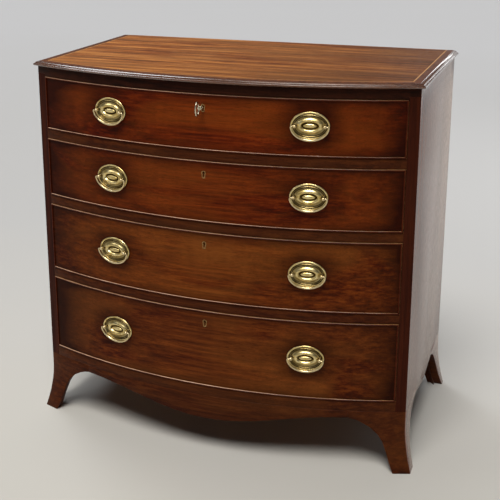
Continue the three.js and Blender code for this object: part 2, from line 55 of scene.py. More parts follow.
# Sizes that the solids have are read from them. The new top ends a hair short of their back
SHORT_OF_BACK = 0.02 * MM
HALF_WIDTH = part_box("side_right")[1].x
BOW_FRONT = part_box("front_apron")[0].y
TOP_LOW, TOP_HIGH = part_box("top_board")
BACK_Y = TOP_HIGH.y - SHORT_OF_BACK
BOW_RADIUS = (HALF_WIDTH**2 + BOW_RISE**2) / (2 * BOW_RISE)
BOW_CENTRE = Vector((0, BOW_FRONT + BOW_RADIUS, 0))
DRAWER_FRONTS = [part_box(f"drawer_{number}_front") for number in (1, 2, 3, 4)]
DRAWER_LEVELS = [(low.z, high.z) for low, high in DRAWER_FRONTS]
FRONT_HALF = DRAWER_FRONTS[0][1].x


def bow_y(x, inset=0.0):
    return BOW_CENTRE.y - math.sqrt((BOW_RADIUS - inset) ** 2 - x**2)


def proud_of_bow(place):
    """How far a place stands forward of the carcase's bowed face."""
    return math.hypot(place.x, place.y - BOW_CENTRE.y) - BOW_RADIUS


# Modelling helpers

WELD = 0.001 * MM
FRAME_WELD = 0.002 * MM
FLAT_DEGREES = 0.4

# A face is level if the upright part of its normal is over this
LEVEL = 0.99


def only(piece):
    if bpy.context.object and bpy.context.object.mode != "OBJECT":
        bpy.ops.object.mode_set(mode="OBJECT")
    bpy.ops.object.select_all(action="DESELECT")
    piece.select_set(True)
    bpy.context.view_layer.objects.active = piece


def middle(element):
    if isinstance(element, bmesh.types.BMFace):
        return element.calc_center_median()
    if isinstance(element, bmesh.types.BMEdge):
        return (element.verts[0].co + element.verts[1].co) / 2
    return element.co


def pick(piece, kind, wanted):
    """In edit mode, selects only the faces, edges or vertices that are wanted."""
    only(piece)
    bpy.ops.object.mode_set(mode="EDIT")
    bpy.ops.mesh.select_mode(type=kind)
    bpy.ops.mesh.select_all(action="DESELECT")
    shape = bmesh.from_edit_mesh(piece.data)
    for element in {"VERT": shape.verts, "EDGE": shape.edges, "FACE": shape.faces}[kind]:
        if wanted(element):
            element.select_set(True)
    shape.select_flush_mode()
    bmesh.update_edit_mesh(piece.data)


def whole(piece):
    pick(piece, "VERT", lambda vert: True)


def turn(degrees, axis, centre):
    """Turns what is selected by the right-hand rule."""
    bpy.ops.transform.rotate(
        value=-math.radians(degrees), orient_axis=axis, orient_type="GLOBAL", center_override=centre
    )


def settle(piece):
    """Puts the piece's place, turn and size into its mesh."""
    only(piece)
    bpy.ops.object.transform_apply(location=True, rotation=True, scale=True)


def face_out(piece):
    """Welds what meets and turns all faces outwards."""
    whole(piece)
    bpy.ops.mesh.remove_doubles(threshold=WELD)
    bpy.ops.mesh.normals_make_consistent(inside=False)
    bpy.ops.object.mode_set(mode="OBJECT")


def join(pieces):
    """Makes one object of the pieces, each still a closed shell of its own."""
    only(pieces[0])
    for piece in pieces:
        piece.select_set(True)
    bpy.ops.object.join()
    return bpy.context.object


def slice_off(piece, place, outwards):
    """Cuts away what lies beyond a plane and closes the cut."""
    whole(piece)
    bpy.ops.mesh.bisect(
        plane_co=place, plane_no=outwards, clear_outer=True, clear_inner=False, use_fill=True
    )
    bpy.ops.object.mode_set(mode="OBJECT")


def ease(piece, width, segments, wanted=lambda edge: True, least=40):
    """Rounds the sharp edges that are wanted."""
    sharp = math.radians(least)
    pick(piece, "EDGE", lambda edge: edge.calc_face_angle(0) > sharp and wanted(edge))
    bpy.ops.mesh.bevel(
        offset=width, offset_type="OFFSET", segments=segments, affect="EDGES", clamp_overlap=True
    )
    bpy.ops.object.mode_set(mode="OBJECT")


def smooth(piece, degrees=35):
    only(piece)
    bpy.ops.object.shade_smooth_by_angle(angle=math.radians(degrees))


def refined(name):
    """A copy of a solid, with its triangles joined into whole faces ready to be shaped."""
    piece = bpy.data.objects.new(name + "_finished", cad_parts[name].data.copy())
    bpy.context.scene.collection.objects.link(piece)
    whole(piece)
    bpy.ops.mesh.remove_doubles(threshold=FRAME_WELD)
    bpy.ops.mesh.dissolve_limited(angle_limit=math.radians(FLAT_DEGREES))
    bpy.ops.object.mode_set(mode="OBJECT")
    return piece


def placed(piece, name, body, replaced=()):
    """Names a finished piece, hangs it on the empty of the body it rides on, and hides the
    nodes it stands for.
    """
    piece.name = name
    piece.data.name = name
    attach(piece, body)
    if replaced:
        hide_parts(*replaced)


def paint(piece, *materials, choose=None):
    """Gives the piece its materials. choose names, for a face, which of them it takes."""
    piece.data.materials.clear()
    for material in materials:
        piece.data.materials.append(material)
    for face in piece.data.polygons:
        face.material_index = choose(face) if choose else 0


def copied(piece, name, matrix):
    """A copy with its own mesh, put in its place by a matrix."""
    twin = piece.copy()
    twin.data = piece.data.copy()
    bpy.context.scene.collection.objects.link(twin)
    twin.name = name
    twin.matrix_world = matrix
    settle(twin)
    return twin


# Materials: the length along the grain and the width across it of each kind of figure

CLOUD = (380 * MM, 120 * MM)
RIBBON = (16 * MM, 70 * MM)
PORE = (22 * MM, 0.9 * MM)
PORE_BUMP = 0.2 * MM
SCRATCH_BUMP = 0.1 * MM
RIBBON_TONE = "#a08a80"
PORE_TONE = "#7a6258"
# Darkening for painted shade, and for old wax on the drawer fronts
SHADE_AND_WAX_TONE = "#6a534c"
PATINA_TONE = "#4e3f1c"


def linear(code):
    """The shader's colour for an sRGB code."""
    channels = [int(code[i : i + 2], 16) / 255 for i in (1, 3, 5)]
    return [c / 12.92 if c <= 0.04045 else ((c + 0.055) / 1.055) ** 2.4 for c in channels] + [1]


def node(tree, kind, links=(), **settings):
    """Adds a node. A setting is an attribute, or the value of the input of that name."""
    made = tree.nodes.new("ShaderNode" + kind)
    for key, value in settings.items():
        if hasattr(made, key):
            setattr(made, key, value)
        else:
            made.inputs[key.replace("_", " ")].default_value = value
    for socket, source in dict(links).items():
        tree.links.new(source, made.inputs[socket])
    return made


def new_material(name):
    material = bpy.data.materials.new(name)
    material.use_nodes = True
    tree = material.node_tree
    shader = tree.nodes["Principled BSDF"]
    place = node(tree, "TexCoord").outputs["Object"]
    return material, tree, shader, place


def ramp(tree, source, stops):
    made = node(tree, "ValToRGB", {"Fac": source})
    elements = made.color_ramp.elements
    for place, _ in stops[2:]:
        elements.new(place)
    for element, (place, code) in zip(elements, sorted(stops)):
        element.position = place
        element.color = linear(code)
    return made.outputs["Color"]


def stretched(tree, place, along, length, width):
    """Coordinates that run one unit in a length along the grain and one in a width across."""
    scale = [1 / width] * 3
    scale["XYZ".index(along)] = 1 / length
    return node(tree, "Mapping", {"Vector": place}, Scale=scale).outputs["Vector"]


def shade_and_wax_on_front(tree, place):
    """Painted shade and old polish on a drawer's front, as each vertex tells it."""
    return node(tree, "Attribute", attribute_name="wax").outputs["Fac"]


def painted_shade_to_right(tree, place):
    """Painted shade on the right of the top, where the light from the left falls off."""
    start, end = -260 * MM, 400 * MM
    x = node(tree, "SeparateXYZ", {"Vector": place}).outputs["X"]
    return node(
        tree, "MapRange", {"Value": x}, From_Min=start, From_Max=end, To_Max=0.6
    ).outputs["Result"]


def wood(name, along, tones, figure, gloss, wax=None, streak=(260, 8)):
    """Wood: streaks that run along the grain, broad clouds and ribbons of figure, open pores.
    tones are the dark, middle and light of the streaks and the clouds' own, and figure is
    how strong clouds and ribbons are. gloss is the index of refraction, the roughness and
    the depth of the pores. The darkening function tells where painted shade, with old polish
    on drawer fronts, darkens the wood, and streak is the length and width of a streak in mm."""
    dark, middle_tone, light, cloud = tones
    ior, rough, pore_depth = gloss
    material, tree, shader, place = new_material(name)
    streaks = node(
        tree,
        "TexNoise",
        {"Vector": stretched(tree, place, along, streak[0] * MM, streak[1] * MM)},
        Scale=1.0,
        Detail=8.0,
        Roughness=0.72,
        Distortion=0.12,
    ).outputs["Fac"]
    base = ramp(tree, streaks, [(0.37, dark), (0.63, light), (0.5, middle_tone)])
    clouds = node(
        tree,
        "TexNoise",
        {"Vector": stretched(tree, place, along, *CLOUD)},
        Scale=1.0,
        Detail=4.0,
        Roughness=0.55,
        Distortion=0.8,
    ).outputs["Fac"]
    share = node(
        tree, "MapRange", {"Value": clouds}, From_Min=0.34, From_Max=0.64, To_Max=figure
    ).outputs["Result"]
    figured = node(
        tree, "MixRGB", {"Fac": share, "Color1": base}, Color2=linear(cloud)
    ).outputs["Color"]
    ribbons = node(
        tree,
        "TexNoise",
        {"Vector": stretched(tree, place, along, *RIBBON)},
        Scale=1.0,
        Detail=3.0,
        Roughness=0.6,
        Distortion=0.4,
    ).outputs["Fac"]
    share = node(
        tree, "MapRange", {"Value": ribbons}, From_Min=0.45, From_Max=0.75, To_Max=0.2 * figure
    ).outputs["Result"]
    figured = node(
        tree,
        "MixRGB",
        {"Fac": share, "Color1": figured},
        blend_type="MULTIPLY",
        Color2=linear(RIBBON_TONE),
    ).outputs["Color"]
    pores = node(
        tree,
        "TexNoise",
        {"Vector": stretched(tree, place, along, *PORE)},
        Scale=1.0,
        Detail=2.0,
        Roughness=0.6,
    ).outputs["Fac"]
    open_pores = node(
        tree, "MapRange", {"Value": pores}, From_Min=0.5, From_Max=0.75, To_Max=0.6
    ).outputs["Result"]
    colour = node(
        tree,
        "MixRGB",
        {"Fac": open_pores, "Color1": figured},
        blend_type="MULTIPLY",
        Color2=linear(PORE_TONE),
    ).outputs["Color"]
    # Painted shade, with old wax on the drawer fronts, darkens the colour in patches
    if wax:
        patchy = node(
            tree, "Math", {0: wax(tree, place), 1: clouds}, operation="MULTIPLY"
        ).outputs["Value"]
        share = node(tree, "MapRange", {"Value": patchy}, From_Max=0.5).outputs["Result"]
        colour = node(
            tree,
            "MixRGB",
            {"Fac": share, "Color1": colour},
            blend_type="MULTIPLY",
            Color2=linear(SHADE_AND_WAX_TONE),
        ).outputs["Color"]
    tree.links.new(colour, shader.inputs["Base Color"])
    worn = node(
        tree,
        "MapRange",
        {"Value": pores},
        From_Min=0.35,
        From_Max=0.7,
        To_Min=rough,
        To_Max=rough + 0.15,
    ).outputs["Result"]
    tree.links.new(worn, shader.inputs["Roughness"])
    bump = node(
        tree, "Bump", {"Height": pores}, Strength=pore_depth, Distance=PORE_BUMP, invert=True
    )
    tree.links.new(bump.outputs["Normal"], shader.inputs["Normal"])
    shader.inputs["IOR"].default_value = ior
    return material


# French-polished mahogany veneer: deep red-brown with golden clouds, mellowed by wax. Each
# drawer has a leaf of its own, and the lower ones are browner
MELLOW = (1.14, 0.28, 0.1)
DRY = (1.3, 0.65, 0.3)
LEAVES = [
    ("#3a1004", "#5e1b06", "#7c2d0a", "#8a4212"),
    ("#380f04", "#5a1c06", "#7a2f0b", "#8a4616"),
    ("#3a1206", "#5e240a", "#7e3c12", "#8c501e"),
    ("#381207", "#56230c", "#743813", "#844c1e"),
]
# Each front is darkened beside its beads, at its ends and round its plates, partly as painted shade
# and partly as old wax
front_veneers = [
    wood(f"mahogany_front_veneer_{number}", "X", leaf, 0.62, MELLOW, shade_and_wax_on_front)
    for number, leaf in enumerate(LEAVES, 1)
]
# Straight-grained mahogany of the rails and apron, darker and plainer than the fronts
rail_mahogany = wood(
    "mahogany_rail", "X", ("#2e1209", "#451d0c", "#572b11", "#5f3617"), 0.4, MELLOW
)
# Front edges of the sides, of the same plain wood with its grain upright
stile_mahogany = wood(
    "mahogany_stile", "Z", ("#220805", "#341007", "#441a0b", "#4b220e"), 0.4, MELLOW
)
# Frieze under the overhang of the top, painted near-black for the shade that the overhang
# casts on it
frieze_mahogany_painted_shade = wood(
    "mahogany_frieze_painted_shade", "X", ("#1a0905", "#2a1008", "#3a180c", "#42200f"), 0.4, MELLOW
)
# Mahogany side boards, whose grain stands upright under wax with a little bloom in it
side_mahogany = wood(
    "mahogany_side", "Z", ("#3a160c", "#5a2615", "#74391f", "#804326"), 0.4, (1.55, 0.16, 0.03)
)
bloom = side_mahogany.node_tree.nodes["Principled BSDF"].inputs
bloom["Sheen Weight"].default_value = 0.2
bloom["Sheen Roughness"].default_value = 0.35
bloom["Sheen Tint"].default_value = linear("#f0ddcc")
# Sun-bleached mahogany of the top: orange-brown with long dark streaks, and painted shade
# that darkens it towards the right
top_mahogany = wood(
    "mahogany_top_veneer",
    "X",
    ("#3c1507", "#86471b", "#c4803f", "#c58a4c"),
    0.35,
    (1.13, 0.4, 0.1),
    painted_shade_to_right,
    (280, 19),
)
# Moulded edge of the top, of the same bleached wood. Dusters have rubbed up a sheen, which
# is dull with wax only on the right of the front
top_edge_mahogany = wood(
    "mahogany_top_edge",
    "X",
    ("#3c1c0e", "#54301c", "#6c442c", "#70482e"),
    0.4,
    (1.45, 0.2, 0.03),
)
tree = top_edge_mahogany.node_tree
place = node(tree, "TexCoord").outputs["Object"]
x = node(tree, "SeparateXYZ", {"Vector": place}).outputs["X"]
across = node(
    tree, "MapRange", {"Value": x}, From_Min=-HALF_WIDTH, From_Max=HALF_WIDTH
).outputs["Result"]
sheen = ramp(
    tree, across, [(0.42, "#ffffff"), (0.98, "#ffffff"), (0.65, "#5c5c5c"), (0.94, "#5c5c5c")]
)
polish = tree.nodes["Principled BSDF"].inputs
tree.links.new(sheen, polish["Coat Weight"])
polish["Coat Roughness"].default_value = 0.1
polish["Coat IOR"].default_value = 1.8
# Crossbanding round the top, cut so that its grain runs outwards
SATIN = (1.2, 0.4, 0.1)
front_crossband = wood(
    "mahogany_crossband_front", "Y", ("#3a1a0a", "#5e3014", "#7a4420", "#7a4420"), 0.4, SATIN
)
side_crossband = wood(
    "mahogany_crossband_side", "X", ("#341608", "#52280f", "#6a381a", "#6a381a"), 0.4, SATIN
)
# Beads of the drawers, plain wood like the rails
bead_mahogany = wood(
    "mahogany_bead", "X", ("#2e0e07", "#451709", "#57230d", "#5f2c12"), 0.4, MELLOW
)
# Upper sides of the beads, painted pale as the highlight of the light from above, which
# painted shade dims towards the right
bead_painted_highlight = wood(
    "mahogany_bead_painted_highlight",
    "X",
    ("#b48a72", "#d2aa90", "#ecc8b0", "#ecc8b0"),
    0.4,
    (1.45, 0.3, 0.05),
    shade_and_wax_on_front,
)
# Dry quarter-sawn oak of the drawer linings, unpolished and grey-brown with age
OAK = ("#744b2a", "#9c6f3f", "#bb8f5c", "#ae8352")
oak_lengthways = wood("oak_lining_lengthways", "Y", OAK, 0.25, DRY)
oak_crossways = wood("oak_lining_crossways", "X", OAK, 0.25, DRY)
# Old pine of the dustboards, carcase bottom and back boards, dull and oxidised
PINE = ("#64401f", "#875b33", "#a2733f", "#966839")
pine_crossways = wood("pine_crossways", "X", PINE, 0.3, DRY)
pine_upright = wood("pine_upright", "Z", PINE, 0.3, DRY)
# Boxwood string, a pale yellow line of inlay under the same polish
boxwood, tree, shader, place = new_material("boxwood_string")
grain = node(tree, "TexNoise", {"Vector": place}, Scale=140.0, Detail=3.0).outputs["Fac"]
tree.links.new(
    ramp(tree, grain, [(0.3, "#a8743a"), (0.7, "#cf9a58")]), shader.inputs["Base Color"]
)
shader.inputs["Roughness"].default_value = 0.4
shader.inputs["IOR"].default_value = 1.2


def metal(name, dull, bright, rough_low, rough_high, patch, scratch, patina=None):
    """Metal with tarnish in soft patches and fine scratches in its polish. patina names the
    attribute that says where dried polish has darkened it."""
    material, tree, shader, place = new_material(name)
    patches = node(
        tree, "TexNoise", {"Vector": place}, Scale=1 / patch, Detail=4.0, Roughness=0.6
    ).outputs["Fac"]
    colour = ramp(tree, patches, [(0.35, dull), (0.65, bright)])
    if patina:
        share = node(tree, "Attribute", attribute_name=patina).outputs["Fac"]
        colour = node(
            tree,
            "MixRGB",
            {"Fac": share, "Color1": colour},
            blend_type="MULTIPLY",
            Color2=linear(PATINA_TONE),
        ).outputs["Color"]
    tree.links.new(colour, shader.inputs["Base Color"])
    scratches = node(
        tree, "TexNoise", {"Vector": place}, Scale=1 / scratch, Detail=2.0
    ).outputs["Fac"]
    rough = node(
        tree,
        "MapRange",
        {"Value": patches},
        From_Min=0.3,
        From_Max=0.7,
        To_Min=rough_high,
        To_Max=rough_low,
    ).outputs["Result"]
    tree.links.new(rough, shader.inputs["Roughness"])
    bump = node(tree, "Bump", {"Height": scratches}, Strength=0.08, Distance=SCRATCH_BUMP)
    tree.links.new(bump.outputs["Normal"], shader.inputs["Normal"])
    shader.inputs["Metallic"].default_value = 1.0
    return material


# Stamped and lacquered sheet brass: pale gold, a little browner where the lacquer has aged
stamped_brass = metal(
    "stamped_brass", "#cdb26e", "#f0dea6", 0.26, 0.36, 14 * MM, 1.2 * MM, "patina"
)
# The same brass where hands and dusters keep it bright: balls and bails. Its paler tone is
# partly a painted glint on the balls
handled_brass_with_painted_glint = metal("handled_brass_with_painted_glint", "#d8c08c", "#f0dfb6", 0.26, 0.38, 6 * MM, 1.2 * MM)
# Dirt and old polish that have dried in the hollows of the stamping, and painted shade on
# the plate's low edge against the wood
brass_dirt_and_edge_shade = metal("brass_dirt_and_edge_shade", "#2e200c", "#55401c", 0.4, 0.6, 5 * MM, 1 * MM)
# Brass lines let in round the keyholes, dark with age and worn level with the wood
tarnished_brass = metal("tarnished_brass", "#8a7048", "#b89d6a", 0.4, 0.55, 4 * MM, 1 * MM)
# Brass plate of the locks, dull from handling
lock_brass = metal("lock_brass", "#8f7238", "#b89a5a", 0.35, 0.5, 20 * MM, 1.5 * MM)
# Wrought iron of the bolts, dark with rust in its hollows
lock_iron = metal("wrought_iron", "#4a3f38", "#7a746c", 0.4, 0.6, 9 * MM, 1 * MM)
# Steel of the key, worn bright by the hand and yellowed with old lacquer
key_steel = metal("worn_steel", "#a39b7e", "#e6dfc8", 0.22, 0.32, 6 * MM, 0.8 * MM)


# Top: a slab with a bowed front, whose upper and lower faces are stepped in to make the
# moulding. It is made too deep, and the moulding is cut off flush at the back. A step is
# how far it goes inwards and how far along, in mm

TOP_OVERHANG = TOP_HIGH.x - HALF_WIDTH
TOO_DEEP = 40 * MM
ABOVE_BEAD = [
    (0.5, 1.1),
    (0.8, 0.7),
    (1.1, 0.4),
    (1.4, 0.1),
    (0.2, 0.9),
    (0.5, 0.9),
    (1.2, 1.0),
    (2.0, 0.9),
    (2.6, 0.6),
    (2.3, 0.3),
    (2.0, 0.1),
]
BELOW_BEAD = [(0.4, 1.0), (0.9, 0.8), (1.3, 0.5)]
BEAD_BAND = 1.2 * MM
RECESS = 0.6 * MM
VENEER = 0.5 * MM
BOW_SIDES = 250
FIELD_EDGE = 19 * MM
FIELD_HALF = HALF_WIDTH - FIELD_EDGE
STRING_WIDTH = 2.4 * MM
LEAST_CORNERS = 12


def bowed_slab(offset, low, high, back):
    """A slab with the carcase's outline, grown by an offset at the front and the sides."""
    bpy.ops.mesh.primitive_cylinder_add(
        vertices=BOW_SIDES,
        radius=BOW_RADIUS + offset,
        depth=high - low,
        location=(0, BOW_CENTRE.y, (low + high) / 2),
    )
    slab = bpy.context.object
    settle(slab)
    for hand in (-1, 1):
        slice_off(slab, (hand * (HALF_WIDTH + offset), 0, 0), (hand, 0, 0))
    slice_off(slab, (0, back, 0), (0, 1, 0))
    return slab


def pick_broad_face(slab, facing):
    """Picks the slab's one large face, which looks up or down."""
    pick(
        slab,
        "FACE",
        lambda face: face.normal.z * facing > LEVEL and len(face.verts) > LEAST_CORNERS,
    )


def step_in(slab, facing, steps):
    """Draws the broad face in and along, step by step."""
    for inward, along in steps:
        pick_broad_face(slab, facing)
        bpy.ops.mesh.inset(thickness=inward * MM, use_even_offset=True)
        bpy.ops.transform.translate(value=(0, 0, facing * along * MM))
        bpy.ops.object.mode_set(mode="OBJECT")


bead_low = TOP_LOW.z + sum(along for inward, along in BELOW_BEAD) * MM
top = bowed_slab(TOP_OVERHANG, bead_low, bead_low + BEAD_BAND, BACK_Y + TOO_DEEP)
step_in(top, 1, ABOVE_BEAD)
step_in(top, -1, BELOW_BEAD)

# A shallow recess takes the veneer of the field and leaves the crossbanding standing round it
moulding_width = sum(inward for inward, along in ABOVE_BEAD) * MM
pick_broad_face(top, 1)
bpy.ops.mesh.inset(thickness=FIELD_EDGE + TOP_OVERHANG - moulding_width, use_even_offset=True)
bpy.ops.mesh.extrude_region_move(TRANSFORM_OT_translate={"value": (0, 0, -RECESS)})
bpy.ops.object.mode_set(mode="OBJECT")
slice_off(top, (0, BACK_Y, 0), (0, 1, 0))

# The crossbanding is mitred where the front strip meets the side strips
mitre_y = bow_y(FIELD_HALF, FIELD_EDGE)
for hand in (-1, 1):
    whole(top)
    bpy.ops.mesh.bisect(plane_co=(hand * FIELD_HALF, mitre_y, 0), plane_no=(hand, 1, 0))
    bpy.ops.object.mode_set(mode="OBJECT")
smooth(top, 30)


def top_choice(face):
    """The crossbanding changes direction at its mitres. The rest is moulded edge."""
    if face.normal.z < 0.995 or face.center.z < TOP_HIGH.z - VENEER:
        return 0
    beyond = abs(face.center.x) + face.center.y > FIELD_HALF + mitre_y
    return 2 if beyond and abs(face.center.x) > HALF_WIDTH / 2 else 1


paint(top, top_edge_mahogany, front_crossband, side_crossband, choose=top_choice)
placed(top, "moulded_top", "carcase", ["top_board"])

# The field of the top is a veneer let in level, with the boxwood string round three sides
field = bowed_slab(-FIELD_EDGE, TOP_HIGH.z - VENEER, TOP_HIGH.z, BACK_Y + STRING_WIDTH)
least_field = HALF_WIDTH**2 / 4
pick(field, "FACE", lambda face: face.normal.z > LEVEL)
bpy.ops.mesh.inset(thickness=STRING_WIDTH, use_even_offset=True)
bpy.ops.object.mode_set(mode="OBJECT")
slice_off(field, (0, BACK_Y, 0), (0, 1, 0))


def field_choice(face):
    """The faces of the string are slivers beside the field."""
    return 0 if face.normal.z > LEVEL and face.area > least_field else 1


paint(field, top_mahogany, boxwood, choose=field_choice)
placed(field, "top_veneer_and_string", "carcase")


# Carcase boards: the solids' own forms, with whole faces, eased arrises and a smooth bow.
# Show wood faces outwards, and the hidden faces are the rougher wood

ARRIS = 0.6 * MM
FRIEZE_ARRIS = 0.5 * MM
SOFT_ARRIS = 0.8 * MM
LIPPING = 5 * MM


def at_bow(edge):
    return proud_of_bow(middle(edge)) > -0.5 * MM


def faces_front(face):
    return face.normal.y < -0.5


def faces_outwards(face):
    """Whether a face looks out at a side of the chest, where all wood is finished alike."""
    return abs(face.normal.x) > 0.6 and face.normal.x * face.center.x > 0


def rail_choice(face):
    return int(face.normal.y < -0.3 and proud_of_bow(face.center) > -LIPPING)


def side_choice(face):
    """The front edge has its grain upright, and the inner face is the rougher wood."""
    if faces_front(face):
        return 2
    return int(face.normal.x * face.center.x < 0 and abs(face.normal.x) > 0.9)


for rail in ("drawer_divider_1", "drawer_divider_2", "drawer_divider_3", "carcase_bottom"):
    board = refined(rail)
    ease(board, ARRIS, 2, at_bow)
    smooth(board)
    paint(board, pine_crossways, rail_mahogany, choose=rail_choice)
    placed(board, rail + "_board", "carcase", [rail])

frieze = refined("frieze_rail")
ease(frieze, FRIEZE_ARRIS, 2, at_bow)
smooth(frieze)
paint(frieze, frieze_mahogany_painted_shade, side_mahogany, choose=lambda face: int(faces_outwards(face)))
placed(frieze, "frieze_board", "carcase", ["frieze_rail"])

for name in ("side_left", "side_right"):
    board = refined(name)
    ease(board, ARRIS, 2, lambda edge: abs(middle(edge).x) > HALF_WIDTH - 1 * MM)
    smooth(board)
    paint(board, side_mahogany, pine_upright, stile_mahogany, choose=side_choice)
    placed(board, name + "_board", "carcase", [name])

apron = refined("front_apron")
ease(apron, SOFT_ARRIS, 2)
smooth(apron)
paint(apron, rail_mahogany)
placed(apron, "apron_board", "carcase", ["front_apron"])

for name in ("foot_front_left", "foot_front_right", "foot_back_left", "foot_back_right"):
    foot = refined(name)
    ease(foot, SOFT_ARRIS, 2, least=50)
    smooth(foot)
    paint(foot, rail_mahogany, side_mahogany, choose=lambda face: int(faces_outwards(face)))
    placed(foot, name + "_bracket", "carcase", [name])

# Back: upright pine boards with open joints, in place of the one panel of the solids
BACK_BOARDS = 5
OPEN_JOINT = 1 * MM
CHAMFER = 1.5 * MM
back_low, back_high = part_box("back_panel")
board_width = (back_high.x - back_low.x) / BACK_BOARDS
boards = []
for i in range(BACK_BOARDS):
    bpy.ops.mesh.primitive_cube_add(
        size=1,
        location=(
            back_low.x + board_width * (i + 0.5),
            (back_low.y + back_high.y) / 2,
            (back_low.z + back_high.z) / 2,
        ),
        scale=(board_width - OPEN_JOINT, back_high.y - back_low.y, back_high.z - back_low.z),
    )
    board = bpy.context.object
    settle(board)
    ease(board, CHAMFER, 1, lambda edge: middle(edge).y > back_high.y - 1 * MM)
    boards.append(board)
back = join(boards)
paint(back, pine_upright)
placed(back, "back_boards", "carcase", ["back_panel"])


# Drawers. Half the width and height of a handle's plate are in mm

PLATE_HALF_WIDTH = 42.0
PLATE_HALF_HEIGHT = 30.5
BEAD_ROUNDING = 1.2 * MM
ON_BEAD = 0.2 * MM
SHADE_AND_WAX_ROWS = 14
SHADE_AND_WAX_BY_BEAD = 24 * MM
SHADE_AND_WAX_BY_END = 150 * MM

# How strong the darkening is on a front, partly painted shade and partly old wax: beside a
# bead, at each end and round a plate, and where it starts to fade and ends round a plate, in
# half sizes of the plate
BESIDE_BEAD = 0.6
AT_LEFT_END = 0.9
AT_RIGHT_END = 0.45
ROUND_PLATE = 0.75
PLATE_FADE = 1.2
PLATE_END = 2.1

# And on the beads, where it is painted shade that dims their painted highlight to the right:
# to the left in their upper and their lower half, how much the right end adds, and the most
# there is
UPPER_BEAD = 0.45
LOWER_BEAD = 0.05
TO_RIGHT_END = 1.2
MOST_ON_BEAD = 1.4


def shade_and_wax_at(place, low, high):
    """How much a place on a drawer's front is darkened, partly as painted shade and partly as
    old polish: most beside the beads and round the plates, where shade falls and no duster
    reaches."""
    centre = (low + high) / 2
    if proud_of_bow(place) > ON_BEAD:
        # On a bead it is painted shade that dims the painted highlight to the right, most on the
        # upper bead
        on_left = UPPER_BEAD if place.z > centre else LOWER_BEAD
        return min(MOST_ON_BEAD, on_left + TO_RIGHT_END * max(0, place.x) / FRONT_HALF)
    from_end = FRONT_HALF - abs(place.x)
    from_edge = min(place.z - low, high - place.z, from_end)
    from_plate = math.hypot(
        (abs(place.x) - HANDLE_SPACING / 2) / (PLATE_HALF_WIDTH * MM),
        (place.z - centre - HANDLE_RISE) / (PLATE_HALF_HEIGHT * MM),
    )
    most_at_end = AT_LEFT_END if place.x < 0 else AT_RIGHT_END
    beside_bead = BESIDE_BEAD * max(0, 1 - from_edge / SHADE_AND_WAX_BY_BEAD)
    at_end = most_at_end * max(0, 1 - from_end / SHADE_AND_WAX_BY_END)
    near_plate = (PLATE_END - from_plate) / (PLATE_END - PLATE_FADE)
    round_plate = ROUND_PLATE * max(0, min(1, near_plate))
    return min(1, beside_bead + at_end + round_plate)


def front_choice(face):
    """Veneer, beads with a painted highlight on their upper sides, and the oak that the veneer
    lies on.
    """
    proud = proud_of_bow(face.center)
    if proud > ON_BEAD:
        return 3 if face.normal.z > 0.35 else 1
    return 0 if proud > -0.5 * MM and face.normal.y < -0.3 else 2


for number, (low, high) in enumerate(DRAWER_LEVELS, 1):
    drawer = f"drawer_{number}"
    front = refined(f"{drawer}_front")
    ease(front, BEAD_ROUNDING, 3, lambda edge: proud_of_bow(middle(edge)) > 2 * MM)
    smooth(front, 40)

    # Level cuts give the painted shade and wax places to be told apart
    for row in range(1, SHADE_AND_WAX_ROWS):
        whole(front)
        level = low + (high - low) * row / SHADE_AND_WAX_ROWS
        bpy.ops.mesh.bisect(plane_co=(0, 0, level), plane_no=(0, 0, 1))
        bpy.ops.object.mode_set(mode="OBJECT")
    wax = front.data.attributes.new("wax", "FLOAT", "POINT")
    for vert, share in zip(front.data.vertices, wax.data):
        share.value = shade_and_wax_at(vert.co, low, high)
    veneer = front_veneers[number - 1]
    paint(front, veneer, bead_mahogany, oak_crossways, bead_painted_highlight, choose=front_choice)
    placed(front, f"{drawer}_veneered_front", drawer, [f"{drawer}_front"])
    for side in ("left", "right"):
        paint(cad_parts[f"{drawer}_side_{side}"], oak_lengthways)
    paint(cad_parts[f"{drawer}_back"], oak_crossways)
    paint(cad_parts[f"{drawer}_bottom"], oak_crossways)
    paint(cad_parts[f"{drawer}_lock"], lock_brass)
    paint(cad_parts[f"{drawer}_lock_bolt"], lock_iron)


# Handles. A plate lies face up at the origin while it is made: an oval disc whose upper
# face is drawn in and raised, ring by ring, to the stamped relief. A ring is half its
# width, half its height and its level, in mm

PLATE_RINGS = [
    (PLATE_HALF_WIDTH, PLATE_HALF_HEIGHT, 0.9),
    (41.8, 30.3, 1.6),
    (41.0, 29.5, 2.3),
    (39.8, 28.3, 2.6),
    (38.6, 27.1, 2.3),
    (37.8, 26.3, 1.6),
    (37.3, 25.8, 0.8),
    (36.5, 25.0, 0.8),
    (36.1, 24.6, 1.6),
    (35.0, 23.5, 2.2),
    (33.9, 22.4, 1.6),
    (33.5, 22.0, 0.9),
    (32.9, 21.4, 0.9),
    (32.4, 20.9, 1.8),
    (30.4, 18.8, 2.1),
    (28.9, 17.3, 2.1),
    (28.3, 16.7, 2.7),
    (26.6, 15.2, 4.1),
    (24.6, 13.6, 5.3),
    (22.6, 12.0, 5.8),
    (21.0, 10.6, 5.4),
    (19.6, 9.2, 4.2),
    (18.6, 8.2, 2.8),
    (17.8, 7.4, 1.6),
    (16.8, 6.6, 1.0),
    (15.4, 5.6, 1.0),
    (14.4, 4.9, 2.6),
    (12.8, 4.0, 3.8),
    (10.6, 2.9, 4.5),
    (8.2, 1.7, 4.8),
]
POST_SPACING = 64.4 * MM
HINGE_PROUD = 11 * MM
UNDER_BALL = HINGE_PROUD - 4 * MM
BALL_RADIUS = 3.9 * MM
ROUND_BALL = 4.2 * MM
GROOVE_AND_EDGE_LEVEL = 1.02 * MM
PLATE_CORNERS = 72

